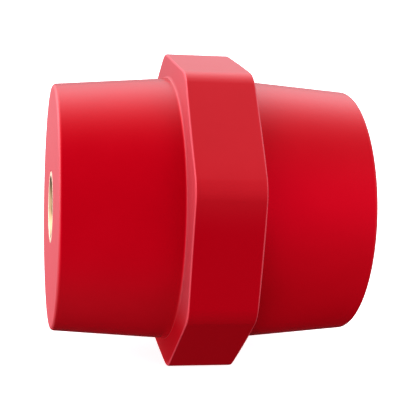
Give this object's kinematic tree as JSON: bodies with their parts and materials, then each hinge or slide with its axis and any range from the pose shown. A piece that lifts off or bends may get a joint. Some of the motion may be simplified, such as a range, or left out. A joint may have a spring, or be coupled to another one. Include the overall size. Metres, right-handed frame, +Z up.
{
  "type": "busbar standoff insulator",
  "caption": "Drum-type low-voltage standoff insulator: draft-tapered moulded drum with an octagonal wrench belt and a blind threaded brass insert in each end.",
  "frame": {"origin": "centre of the object's footprint on the surface it lies on, directly under the middle of the drum, at the belt's lowest flat", "axes": "+X along the drum from the left insert to the right insert, +Z up through the belt's top flat, +Y away from the viewer"},
  "size_m": [0.04, 0.04, 0.04],
  "materials": {
    "red_moulding_compound": "satin",
    "insert_brass": "satin"
  },
  "bodies": {
    "root": {"moulded_body": "red_moulding_compound", "threaded_insert_left": "insert_brass", "threaded_insert_right": "insert_brass"}
  },
  "joints": []
}
